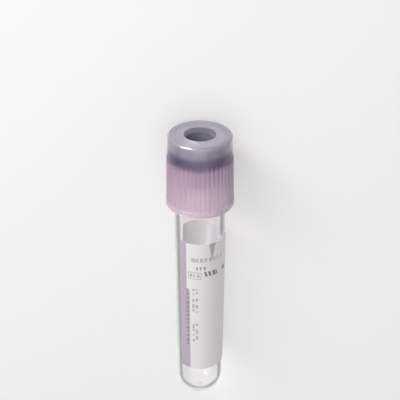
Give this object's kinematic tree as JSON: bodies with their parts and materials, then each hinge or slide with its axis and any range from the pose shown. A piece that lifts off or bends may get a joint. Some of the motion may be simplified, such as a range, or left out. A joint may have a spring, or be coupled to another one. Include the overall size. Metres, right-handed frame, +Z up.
{
  "type": "blood collection tube",
  "caption": "Clear round-bottom blood collection tube with a rubber stopper under a ribbed lavender shield and a paper label, lying on its side.",
  "frame": {"origin": "on the floor, under the middle of the lying tube", "axes": "+X along the lying tube from its round bottom to its closure, +Z up; the tube's own axis rises towards the closure by the small slope at which it rests"},
  "size_m": [0.0808, 0.017, 0.0171],
  "materials": {
    "clear_plastic": "gloss",
    "label_paper": "matte",
    "stopper_rubber": "matte",
    "shield_plastic": "satin"
  },
  "bodies": {
    "tube": {"tube": "clear_plastic", "label": "label_paper"},
    "closure": {"stopper": "stopper_rubber", "shield": "shield_plastic"}
  },
  "joints": [
    {"name": "closure_pull", "type": "slide", "parent": "tube", "child": "closure", "axis": [0.9992, 0, 0.0409], "range_m": [0, 0.025]}
  ]
}
